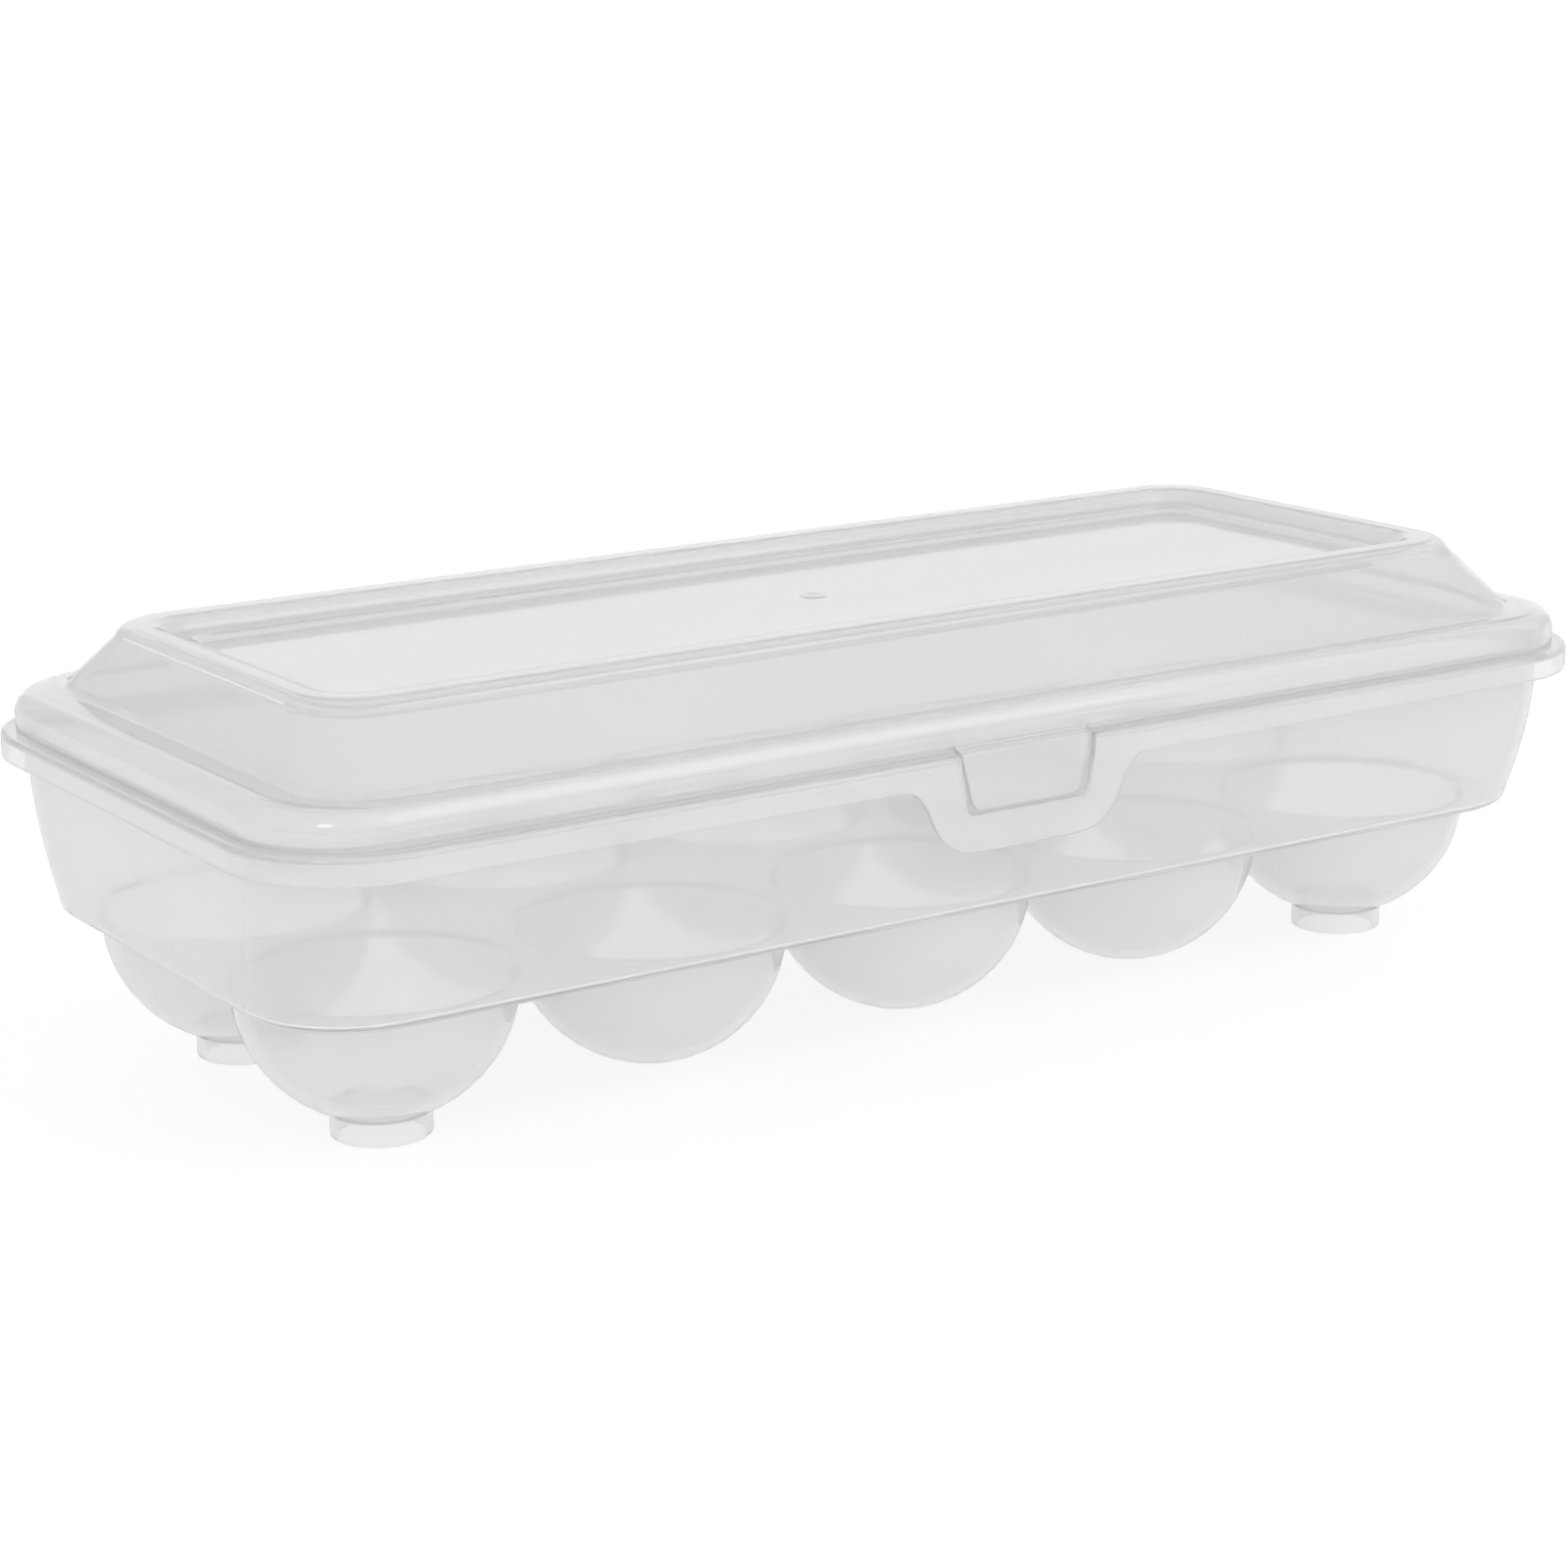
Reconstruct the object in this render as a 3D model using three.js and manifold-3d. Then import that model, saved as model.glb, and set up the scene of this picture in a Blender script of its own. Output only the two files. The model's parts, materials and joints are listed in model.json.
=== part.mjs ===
// Lidded storage box for ten eggs, two rows of five.
// The box is two thin plastic mouldings: a tray with hemispherical egg cups and four short feet,
// and a hipped lid that hooks into the tray's back rim and closes over a front latch apron.
// Each moulding is divided along its natural features into simple closed solids.
//
// Units are millimetres. +X runs along the length, +Y to the hinge side, +Z up.
// The origin is on the surface the box stands on, under the centre of the box.

import * as THREE from 'three';
import { mergeVertices } from 'three/addons/utils/BufferGeometryUtils.js';
import Module from 'manifold-3d';

// ---------- driving dimensions ----------

const SKIN = 1.2;               // moulded wall thickness
const GAP = 0.3;                // space left between neighbouring solids

const CUP_PITCH = 55;           // spacing of the cups, both ways
const CUPS_LONG = 5;
const CUPS_ACROSS = 2;
const CUP_RADIUS = 25;          // outside of the hemisphere
const CUP_CLEARANCE = 3;        // cup bottom above the standing surface
const FOOT_RADIUS = 9.0;        // outside of the foot ring

const DECK_BOTTOM = CUP_CLEARANCE + CUP_RADIUS;
const DECK_TOP = DECK_BOTTOM + SKIN;

const LEDGE_TOP = 61.3;         // flat top of the tray rim, where the lid stands
const LIP_BOTTOM = 56.3;        // lower edge of the turned-down lip
const RIM_THICKNESS = 1.3;
const RIM_EDGE_ROUND = 1.0;
const LEDGE_BOTTOM = LEDGE_TOP - RIM_THICKNESS;

const WALL_CURVE_TOP = 52;      // above this the wall is upright
const WALL_SLOPE = 0.014;       // its lean grows with this times the depth below there,
const WALL_CURVATURE = 0.00098; // plus this times the depth squared
const END_LEAN = 2.8;           // shares of the lean at the ends, the sides and the corners
const SIDE_LEAN = 5.1;
const CORNER_LEAN = 2;

const APRON_BOTTOM = 43.3;      // lowest edge of the latch apron on the front
const APRON_TOP_HALF = 26.5;    // half its width where it meets the lip
const APRON_BOTTOM_HALF = 10;

// The lid's finger tab and the notch it hangs in: the height of the lowest edge, half its width,
// how far each side spreads per millimetre of height, and the size of the rounded corners.
const TAB = { bottom: 50.6, half: 11.7, taper: 0.26, corner: 2.2 };
const NOTCH = { bottom: 50.1, half: 13.6, taper: 0.13, corner: 1.6 };
const TAB_RECESS = 0.5;         // the tab's face behind the lip's
const TAB_RISE = 1.8;           // height above the lid's foot where the tab leaves the band

const LID_FOOT = LEDGE_TOP + GAP;
const LID_INSET = 2.8;          // ledge left showing outside the lid
const SHELF_TOP = 68.3;         // narrow flat shelf round the lid
const SHOULDER_RADIUS = 4;
const ROOF_TOP = 79;            // where the sloping roof meets the raised ridge
const RIDGE_TOP = 81.2;         // highest line of the lid
const STACK_LEDGE = 78.6;       // inner step that takes the feet of a box stacked on top
const PANEL_TOP = 77.4;         // sunken flat panel
const CREST_LEAN = 1.3;         // each face of the ridge leans in this far,
const CREST_ROUND = 1.9;        // and the crest is rounded over this width
const CREST_DROP = 0.5;         // and this height
const STEP_LEAN = 0.8;          // slope of the small step from the stacking ledge to the panel

// A horizontal outline is a rounded rectangle: half length a, half width b, corner radius r.
const RIM = { a: 145, b: 68.4, r: 22.5 };
const WALL_TOP = { a: 141.2, b: 61.4, r: 18.5 };
const CREASE = { a: 132.7, b: 60, r: 14 };          // inner edge of the lid's shelf
const RIDGE_FOOT = { a: 127.6, b: 46.8, r: 13.6 };  // outer foot of the ridge
const LEDGE_WALL = { a: 119.3, b: 37, r: 7 };       // foot of the ridge's inner face
const PANEL = { a: 114.6, b: 31.7, r: 5 };

const HINGE_X = 75;             // centre of each hinge hook from the middle
const HOOK_WIDTH = 20;
const HOOK_INNER_RADIUS = 2.6;
const HOOK_OUTER_RADIUS = HOOK_INNER_RADIUS + SKIN;
const HOOK_CLEARANCE = 0.5;     // at each end of a hook, and behind it
const HINGE_BAR = 1.6;          // width of the bar that a hook turns round
const HINGE_AXIS = { y: RIM.b, z: LID_FOOT };

const CORNER_STEPS = 7;         // facets in a quarter turn of an outline's corner
const ROUND_STEPS = 24;         // facets round a cup or a foot
const CUP_STEPS = 6;            // facets from a cup's rim to its bottom

// ---------- materials ----------

const clearPlastic = (color, roughness) => new THREE.MeshStandardMaterial({ color, roughness });
const trayPlastic = () => clearPlastic(0xdcdedf, 0.3);
const lidPlastic = () => clearPlastic(0xe2e4e5, 0.25);

// ---------- outlines and ring-shaped solids ----------

const inset = (outline, distance) => ({
  a: outline.a - distance,
  b: outline.b - distance,
  r: outline.r - distance,
});

// One level of a ring-shaped solid: an outline at a height.
const level = (outline, z, distance = 0) => ({ ...inset(outline, distance), z });

function roundedRectangle({ a, b, r }) {
  const x = a - r;
  const y = b - r;
  const quarter = Math.PI / 2;
  const shape = new THREE.Shape();
  shape.absarc(x, y, r, 0, quarter);
  shape.absarc(-x, y, r, quarter, 2 * quarter);
  shape.absarc(-x, -y, r, 2 * quarter, 3 * quarter);
  shape.absarc(x, -y, r, 3 * quarter, 4 * quarter);
  return shape;
}

// Points round an outline: CORNER_STEPS + 1 at each corner, none along the straight sides.
function outlinePoints({ a, b, r }) {
  const quarter = Math.PI / 2;
  const points = [];
  for (let corner = 0; corner < 4; corner += 1) {
    const centreX = (corner === 0 || corner === 3 ? 1 : -1) * (a - r);
    const centreY = (corner < 2 ? 1 : -1) * (b - r);
    const arc = new THREE.EllipseCurve(centreX, centreY, r, r, corner * quarter, (corner + 1) * quarter);
    points.push(...arc.getPoints(CORNER_STEPS));
  }
  return points;
}

// A closed ring through a loop of levels, listed clockwise when the section is seen with
// outward to the right and up to the top.
function ringSolid(levels) {
  const rows = levels.map(({ z, ...outline }) => outlinePoints(outline).map((p) => [p.x, p.y, z]));
  const around = rows[0].length;
  const indices = [];
  for (let row = 0; row < rows.length; row += 1) {
    for (let i = 0; i < around; i += 1) {
      const nextRow = (row + 1) % rows.length;
      const next = (i + 1) % around;
      const corners = [row * around + i, row * around + next, nextRow * around + next, nextRow * around + i];
      indices.push(corners[0], corners[2], corners[1], corners[0], corners[3], corners[2]);
    }
  }
  const geometry = new THREE.BufferGeometry();
  geometry.setAttribute('position', new THREE.Float32BufferAttribute(rows.flat(2), 3));
  geometry.setIndex(indices);
  geometry.computeVertexNormals();
  return geometry;
}

// ---------- extrusions ----------

// The outline whose right half follows a path from its top to its bottom.
function mirrored(rightHalf) {
  const points = rightHalf.getPoints(CORNER_STEPS);
  const leftHalf = points.map(({ x, y }) => new THREE.Vector2(-x, y)).reverse();
  return new THREE.Shape([...points, ...leftHalf]);
}

const slab = (shape, thickness, curveSegments = CORNER_STEPS) => new THREE.ExtrudeGeometry(shape, {
  depth: thickness,
  bevelEnabled: false,
  curveSegments,
});

// An upright plate: a shape drawn in X and Z, from its front face at y to y + thickness.
function uprightPlate(shape, y, thickness) {
  return slab(shape, thickness).rotateX(Math.PI / 2).translate(0, y + thickness, 0);
}

// A bar along X: a section drawn in Y and Z, centred on x.
function barAlongX(section, x, width) {
  const geometry = slab(section, width);
  geometry.rotateY(Math.PI / 2).rotateX(Math.PI / 2);
  return geometry.translate(x - width / 2, 0, 0);
}

// ---------- cutting and joining ----------

const manifoldLibrary = await Module();
manifoldLibrary.setup();

function toSolid(geometry) {
  const bare = geometry.clone();
  bare.deleteAttribute('normal');
  bare.deleteAttribute('uv');
  const merged = mergeVertices(bare, 1e-4);
  return new manifoldLibrary.Manifold(new manifoldLibrary.Mesh({
    numProp: 3,
    vertProperties: new Float32Array(merged.attributes.position.array),
    triVerts: new Uint32Array(merged.index.array),
  }));
}

function toGeometry(solid) {
  const mesh = solid.getMesh();
  const geometry = new THREE.BufferGeometry();
  geometry.setAttribute('position', new THREE.BufferAttribute(mesh.vertProperties, 3));
  geometry.setIndex(new THREE.BufferAttribute(mesh.triVerts, 1));
  geometry.computeVertexNormals();
  return geometry;
}

function cut(body, ...tools) {
  return toGeometry(tools.reduce((rest, tool) => rest.subtract(toSolid(tool)), toSolid(body)));
}

function box(x0, x1, y0, y1, z0, z1) {
  const geometry = new THREE.BoxGeometry(x1 - x0, y1 - y0, z1 - z0);
  return geometry.translate((x0 + x1) / 2, (y0 + y1) / 2, (z0 + z1) / 2);
}

// ---------- tray ----------

// The wall is upright near the top and curves in towards the deck like a bath.
function wallOutline(z) {
  const depth = Math.max(0, WALL_CURVE_TOP - z);
  const lean = WALL_SLOPE * depth + WALL_CURVATURE * depth ** 2;
  return {
    a: WALL_TOP.a - END_LEAN * lean,
    b: WALL_TOP.b - SIDE_LEAN * lean,
    r: WALL_TOP.r + CORNER_LEAN * lean,
  };
}

const WALL_FOOT = inset(wallOutline(DECK_TOP), 2.1);    // where the wall turns into the deck

function trayWall() {
  const heights = [LEDGE_BOTTOM - GAP, WALL_CURVE_TOP, 46, 40, 35, 31];
  const outside = heights.map((z) => level(wallOutline(z), z));
  const turn = [
    level(wallOutline(DECK_TOP), DECK_TOP),
    level(wallOutline(DECK_TOP), DECK_BOTTOM + 0.35, 1.0),
    level(WALL_FOOT, DECK_BOTTOM),
    level(WALL_FOOT, DECK_TOP),
  ];
  const inside = heights.map((z) => level(wallOutline(z), z, SKIN)).reverse();
  return ringSolid([...outside, ...turn, ...inside]);
}

// A flat ledge with a turned-down lip, notched at the front for the tab.
function trayRim() {
  const inner = inset(WALL_TOP, SKIN);
  const ring = ringSolid([
    level(inner, LEDGE_TOP),
    level(RIM, LEDGE_TOP, RIM_EDGE_ROUND),
    level(RIM, LEDGE_TOP - 0.3 * RIM_EDGE_ROUND, 0.3 * RIM_EDGE_ROUND),
    level(RIM, LEDGE_TOP - RIM_EDGE_ROUND),
    level(RIM, LIP_BOTTOM),
    level(RIM, LIP_BOTTOM, RIM_THICKNESS),
    level(RIM, LEDGE_BOTTOM, RIM_THICKNESS),
    level(inner, LEDGE_BOTTOM),
  ]);
  const notchDepth = LID_INSET + 0.7;
  const notch = uprightPlate(tongue(NOTCH, LEDGE_TOP + 1), -RIM.b - 1, notchDepth + 1);
  return cut(ring, notch, ...hookOpenings(-HINGE_X), ...hookOpenings(HINGE_X));
}

// Room for one hook: a slot through the ledge and a window in the lip, with a bar left between.
function hookOpenings(x) {
  const half = HOOK_WIDTH / 2 + HOOK_CLEARANCE;
  const slotFront = HINGE_AXIS.y - HOOK_OUTER_RADIUS - HOOK_CLEARANCE;
  const barFront = HINGE_AXIS.y - HINGE_BAR;
  return [
    box(x - half, x + half, slotFront, barFront, LEDGE_BOTTOM - 1, LEDGE_TOP + 1),
    box(x - half, x + half, slotFront, RIM.b + 1, LIP_BOTTOM - 1, LEDGE_BOTTOM),
  ];
}

function trayDeck() {
  const shape = roundedRectangle(inset(WALL_FOOT, GAP));
  for (const { x, y } of cupCentres()) {
    const hole = new THREE.Path();
    hole.absarc(x, y, CUP_RADIUS + GAP, 0, 2 * Math.PI);
    shape.holes.push(hole);
  }
  return slab(shape, SKIN, ROUND_STEPS / 2).translate(0, 0, DECK_BOTTOM);
}

function cupCentres() {
  const centres = [];
  for (let row = 0; row < CUPS_ACROSS; row += 1) {
    for (let column = 0; column < CUPS_LONG; column += 1) {
      centres.push({
        x: (column - (CUPS_LONG - 1) / 2) * CUP_PITCH,
        y: (row - (CUPS_ACROSS - 1) / 2) * CUP_PITCH,
      });
    }
  }
  return centres;
}

// A hemispherical shell whose rim stands in a hole in the deck.
function eggCup() {
  const quarterArc = (radius) => new THREE.EllipseCurve(0, DECK_BOTTOM, radius, radius, -Math.PI / 2, 0)
    .getPoints(CUP_STEPS);
  const outside = quarterArc(CUP_RADIUS);
  const inside = quarterArc(CUP_RADIUS - SKIN).reverse();
  outside[0].x = 0;
  inside[inside.length - 1].x = 0;
  const rim = [new THREE.Vector2(CUP_RADIUS, DECK_TOP), new THREE.Vector2(CUP_RADIUS - SKIN, DECK_TOP)];
  return new THREE.LatheGeometry([...outside, ...rim, ...inside], ROUND_STEPS).rotateX(Math.PI / 2);
}

// A short ring under a corner cup, its top following the cup.
function foot() {
  const underCup = (radius) => DECK_BOTTOM - Math.sqrt(CUP_RADIUS ** 2 - radius ** 2) - GAP;
  const innerRadius = FOOT_RADIUS - SKIN;
  const section = [
    new THREE.Vector2(innerRadius, 0),
    new THREE.Vector2(FOOT_RADIUS, 0),
    new THREE.Vector2(FOOT_RADIUS, underCup(FOOT_RADIUS)),
    new THREE.Vector2(innerRadius, underCup(innerRadius)),
    new THREE.Vector2(innerRadius, 0),
  ];
  return new THREE.LatheGeometry(section, ROUND_STEPS).rotateX(Math.PI / 2);
}

// The front latch apron hangs from the lip with swept sides, notched for the lid's tab.
function latchApron() {
  const top = LIP_BOTTOM - GAP;
  const bottom = APRON_BOTTOM;
  const waist = { x: 21, z: top - 6 };
  const side = new THREE.Path();
  side.moveTo(APRON_TOP_HALF, top);
  side.bezierCurveTo(APRON_TOP_HALF - 3, top - 0.6, waist.x + 1.2, waist.z + 3, waist.x, waist.z);
  side.bezierCurveTo(waist.x - 2, waist.z - 4.6, APRON_BOTTOM_HALF + 6, bottom, APRON_BOTTOM_HALF, bottom);
  const plate = uprightPlate(mirrored(side), -RIM.b, RIM_THICKNESS);
  const notch = uprightPlate(tongue(NOTCH, top + 1), -RIM.b - 1, RIM_THICKNESS + 2);
  return cut(plate, notch);
}

// ---------- lid ----------

const LID = inset(RIM, LID_INSET);

// Upright band on the tray's ledge, rounded shoulder and flat shelf.
function lidBand() {
  const centre = SHELF_TOP - SHOULDER_RADIUS;
  const shoulder = (radius, angle) => level(
    LID,
    centre + radius * Math.sin(angle),
    SHOULDER_RADIUS - radius * Math.cos(angle),
  );
  const angles = [0, 1, 2, 3].map((step) => step * Math.PI / 6);
  return ringSolid([
    level(LID, LID_FOOT, SKIN),
    ...angles.map((angle) => shoulder(SHOULDER_RADIUS - SKIN, angle)),
    level(CREASE, SHELF_TOP - SKIN),
    level(CREASE, SHELF_TOP),
    ...angles.map((angle) => shoulder(SHOULDER_RADIUS, angle)).reverse(),
    level(LID, LID_FOOT),
  ]);
}

// Four sloping sides between the shelf and the ridge.
function lidRoof() {
  return ringSolid([
    level(CREASE, SHELF_TOP - 1.0, 1.7),
    level(RIDGE_FOOT, ROOF_TOP - 1.4, 0.9),
    level(RIDGE_FOOT, ROOF_TOP),
    level(CREASE, SHELF_TOP + 0.2, GAP),
  ]);
}

// Raised rounded ridge with a stacking ledge stepped down inside it.
function lidRidge() {
  const crest = CREST_LEAN + CREST_ROUND;
  const roundStart = RIDGE_TOP - CREST_DROP;
  const stepTop = GAP + STEP_LEAN;
  return ringSolid([
    level(RIDGE_FOOT, ROOF_TOP + GAP, SKIN),
    level(RIDGE_FOOT, roundStart - SKIN, CREST_LEAN + SKIN),
    level(RIDGE_FOOT, RIDGE_TOP - SKIN, crest),
    level(LEDGE_WALL, RIDGE_TOP - SKIN, -crest),
    level(LEDGE_WALL, roundStart - SKIN, -CREST_LEAN - SKIN),
    level(LEDGE_WALL, STACK_LEDGE - SKIN, -SKIN),
    level(PANEL, STACK_LEDGE - SKIN, -stepTop),
    level(PANEL, PANEL_TOP - SKIN, -GAP),
    level(PANEL, PANEL_TOP, -GAP),
    level(PANEL, STACK_LEDGE, -stepTop),
    level(LEDGE_WALL, STACK_LEDGE),
    level(LEDGE_WALL, roundStart, -CREST_LEAN),
    level(LEDGE_WALL, RIDGE_TOP, -crest),
    level(RIDGE_FOOT, RIDGE_TOP, crest),
    level(RIDGE_FOOT, roundStart, CREST_LEAN),
    level(RIDGE_FOOT, ROOF_TOP + GAP),
  ]);
}

const lidPanel = () => slab(roundedRectangle(PANEL), SKIN).translate(0, 0, PANEL_TOP - SKIN);

// Front view of the tab or its notch: a tapering tongue with rounded lower corners, up to top.
function tongue({ bottom, half, taper, corner }, top) {
  const side = new THREE.Path();
  side.moveTo(half + taper * (top - bottom), top);
  side.lineTo(half + taper * corner, bottom + corner);
  side.quadraticCurveTo(half, bottom, half - corner, bottom);
  return mirrored(side);
}

// The tab leaves the lid band, steps out over the ledge and hangs in the notch of the lip.
function lidTab() {
  const face = -RIM.b + TAB_RECESS;
  const root = -LID.b - GAP;
  const top = LID_FOOT + TAB_RISE;
  const section = new THREE.Shape();
  section.moveTo(root, top);
  section.lineTo(root - 0.3, top);
  section.quadraticCurveTo(face, LID_FOOT + 1.2, face, LID_FOOT - 0.4);
  section.lineTo(face, TAB.bottom);
  section.lineTo(face + SKIN, TAB.bottom);
  section.lineTo(face + SKIN, LID_FOOT - 0.2);
  section.lineTo(root, LID_FOOT + 0.5);
  section.closePath();
  const strip = barAlongX(section, 0, 2 * APRON_TOP_HALF);
  const front = uprightPlate(tongue(TAB, top + 1), -RIM.b - 2, 8);
  return toGeometry(toSolid(strip).intersect(toSolid(front)));
}

// Curved hook that turns about the hinge axis, round the bar left in the tray's rim.
function hingeHook(x) {
  const { y, z } = HINGE_AXIS;
  const start = Math.PI + 0.11;
  const end = 1.5 * Math.PI;
  const section = new THREE.Shape();
  section.absarc(y, z, HOOK_OUTER_RADIUS, start, end, false);
  section.absarc(y, z, HOOK_INNER_RADIUS, end, start, true);
  section.closePath();
  return barAlongX(section, x, HOOK_WIDTH);
}

// ---------- assembly ----------

function named(name, geometry, material) {
  const mesh = new THREE.Mesh(geometry, material);
  mesh.name = name;
  return mesh;
}

function buildTray() {
  const tray = new THREE.Group();
  tray.add(named('tray_rim', trayRim(), trayPlastic()));
  tray.add(named('tray_wall', trayWall(), trayPlastic()));
  tray.add(named('tray_deck', trayDeck(), trayPlastic()));
  tray.add(named('latch_apron', latchApron(), trayPlastic()));
  cupCentres().forEach(({ x, y }, index) => {
    const cup = named(`egg_cup_${index + 1}`, eggCup(), trayPlastic());
    cup.position.set(x, y, 0);
    tray.add(cup);
  });
  const reach = (CUPS_LONG - 1) / 2 * CUP_PITCH;
  const side = (CUPS_ACROSS - 1) / 2 * CUP_PITCH;
  for (const [name, x, y] of [
    ['foot_front_left', -reach, -side],
    ['foot_front_right', reach, -side],
    ['foot_back_left', -reach, side],
    ['foot_back_right', reach, side],
  ]) {
    const ring = named(name, foot(), trayPlastic());
    ring.position.set(x, y, 0);
    tray.add(ring);
  }
  return tray;
}

function buildLid() {
  const lid = new THREE.Group();
  lid.add(named('lid_band', lidBand(), lidPlastic()));
  lid.add(named('lid_roof', lidRoof(), lidPlastic()));
  lid.add(named('lid_ridge', lidRidge(), lidPlastic()));
  lid.add(named('lid_panel', lidPanel(), lidPlastic()));
  lid.add(named('lid_finger_tab', lidTab(), lidPlastic()));
  lid.add(named('lid_hook_left', hingeHook(-HINGE_X), lidPlastic()));
  lid.add(named('lid_hook_right', hingeHook(HINGE_X), lidPlastic()));
  return lid;
}

const eggBox = new THREE.Group();
eggBox.add(buildTray(), buildLid());
export default eggBox;
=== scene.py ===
"""Lidded egg storage box: two thin milky plastic mouldings, a tray and a hinged lid.

Lengths are in millimetres until a mesh is made, and then in metres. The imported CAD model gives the
places of the cups, the feet, the rim, the tab and the hooks. The tray and the lid are each one
seamless closed mesh here, because each is one moulding on the real box.
"""

import json
import math

import bmesh
import bpy
from mathutils import Matrix, Vector


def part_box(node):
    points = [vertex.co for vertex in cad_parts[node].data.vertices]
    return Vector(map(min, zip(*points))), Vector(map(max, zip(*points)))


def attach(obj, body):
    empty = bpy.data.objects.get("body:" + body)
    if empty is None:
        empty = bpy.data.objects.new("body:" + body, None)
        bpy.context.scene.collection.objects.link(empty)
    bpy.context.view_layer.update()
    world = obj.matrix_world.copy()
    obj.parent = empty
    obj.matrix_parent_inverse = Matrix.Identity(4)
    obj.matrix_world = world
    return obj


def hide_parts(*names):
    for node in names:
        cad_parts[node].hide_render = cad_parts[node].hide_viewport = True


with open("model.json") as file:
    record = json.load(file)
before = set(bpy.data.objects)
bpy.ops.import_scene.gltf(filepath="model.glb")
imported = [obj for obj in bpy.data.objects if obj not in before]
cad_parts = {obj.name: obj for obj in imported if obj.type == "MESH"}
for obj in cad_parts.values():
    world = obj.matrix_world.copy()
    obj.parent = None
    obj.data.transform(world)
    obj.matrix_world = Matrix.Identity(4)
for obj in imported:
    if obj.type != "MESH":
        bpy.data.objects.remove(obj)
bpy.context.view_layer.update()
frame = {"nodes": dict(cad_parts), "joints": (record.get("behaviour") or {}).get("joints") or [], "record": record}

MM = 0.001


def corners_mm(node):
    low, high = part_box(node)
    return low / MM, high / MM


# ---------- dimensions, from the frame where it has them ----------

RIM_LOW, RIM_HIGH = corners_mm("tray_rim")
DECK_LOW, DECK_HIGH = corners_mm("tray_deck")
CUP_LOW, CUP_HIGH = corners_mm("egg_cup_1")
FOOT_LOW, FOOT_HIGH = corners_mm("foot_front_left")
HOOK_LOW, HOOK_HIGH = corners_mm("lid_hook_left")

SKIN = DECK_HIGH.z - DECK_LOW.z
LEDGE_TOP = RIM_HIGH.z
LIP_BOTTOM = RIM_LOW.z
LIP_THICKNESS = 1.3
LEDGE_BOTTOM = LEDGE_TOP - LIP_THICKNESS
DECK_TOP = DECK_HIGH.z
DECK_BOTTOM = DECK_LOW.z
CUP_RADIUS = (CUP_HIGH.x - CUP_LOW.x) / 2
CUP_PITCH = 55.0
CUP_MOUTH_ROUNDING = 0.4            # on the underside, where a cup leaves the deck
CUPS_LONG = 5
FOOT_RADIUS = (FOOT_HIGH.x - FOOT_LOW.x) / 2

LID_FOOT = LEDGE_TOP + 0.08         # the closed lid's lower edge, just clear of the ledge
LID_INSET = 2.8                     # from the rim's outside in to the lid's band
SHELF_TOP = 68.3
ROOF_TOP = 79.0
RIDGE_TOP = corners_mm("lid_ridge")[1].z
RIDGE_LEAN = 1.2                    # how far each side of the ridge leans over to its top
STACK_LEDGE = 78.6
PANEL_TOP = corners_mm("lid_panel")[1].z
PANEL_LEAN = 1.1                    # how far the step from the stacking ledge to the panel leans

# Outlines: half length, half width and corner radius of a rounded rectangle.
RIM = (RIM_HIGH.x, RIM_HIGH.y, 22.5)
WALL_TOP = (141.2, 61.4, 18.5)
LID = tuple(size - LID_INSET for size in RIM)
CREASE = (132.7, 60.0, 14.0)
RIDGE_FOOT = (127.6, 46.8, 13.6)
LEDGE_WALL = (119.3, 37.0, 7.0)
PANEL = (114.6, 31.7, 5.0)

WALL_CURVE_TOP = 52.0               # the tray's wall is upright above this height
WALL_SLOPE = 0.014
WALL_CURVATURE = 0.00098
LEAN_SHARES = (2.8, 5.1, -2.0)      # the wall's lean at the ends, at the sides and in the corner radius

APRON_BOTTOM = corners_mm("latch_apron")[0].z
APRON_LAP = 1.5                     # how far the apron runs up the lip's face
APRON_TOP_HALF = 27.5
APRON_WAIST = (21.0, LIP_BOTTOM - 6.25)
APRON_BOTTOM_HALF = 10.0

TAB_LOW = corners_mm("lid_finger_tab")[0]
TAB = {"bottom": TAB_LOW.z, "half": 11.7, "taper": 0.26, "corner": 2.2}
NOTCH = {"bottom": 50.1, "half": 13.6, "taper": 0.13, "corner": 1.6}
NOTCH_DEPTH = LID_INSET + 0.7

HINGE_AXIS = Vector(frame["joints"][0]["pos_m"]) / MM
HINGE_BAR = 1.6                     # from the axis to the front of the bar that a hook turns round
HOOK_CLEARANCE = 0.5

# ---------- mesh density ----------

CELL_SIDE = 16                      # segments along one side of a cup's square cell
CUP_AROUND = 4 * CELL_SIDE
LONG_SPAN = CUPS_LONG * CELL_SIDE   # segments from corner to corner along a long side
SHORT_SPAN = 2 * CELL_SIDE
HALF_CORNER = 6                     # segments in half a corner

# Where each corner comes in a loop round the deck, which starts at the front left one.
RIGHT_CORNER = LONG_SPAN
BACK_CORNER = RIGHT_CORNER + SHORT_SPAN
LEFT_CORNER = BACK_CORNER + LONG_SPAN


# ---------- levels: rounded rectangles at a height ----------

def level(outline, z, inset=0.0):
    """Half length, half width, corner radius and height of an outline drawn in by the inset."""
    a, b, r = outline
    return Vector((a - inset, b - inset, r - inset, z))


def wall_level(z, inset=0.0):
    """The tray's wall: upright at the top, curving in towards the deck like a bath."""
    depth = max(0.0, WALL_CURVE_TOP - z)
    lean = WALL_SLOPE * depth + WALL_CURVATURE * depth ** 2
    outline = [size - share * lean for size, share in zip(WALL_TOP, LEAN_SHARES)]
    return level(outline, z, inset)


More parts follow.
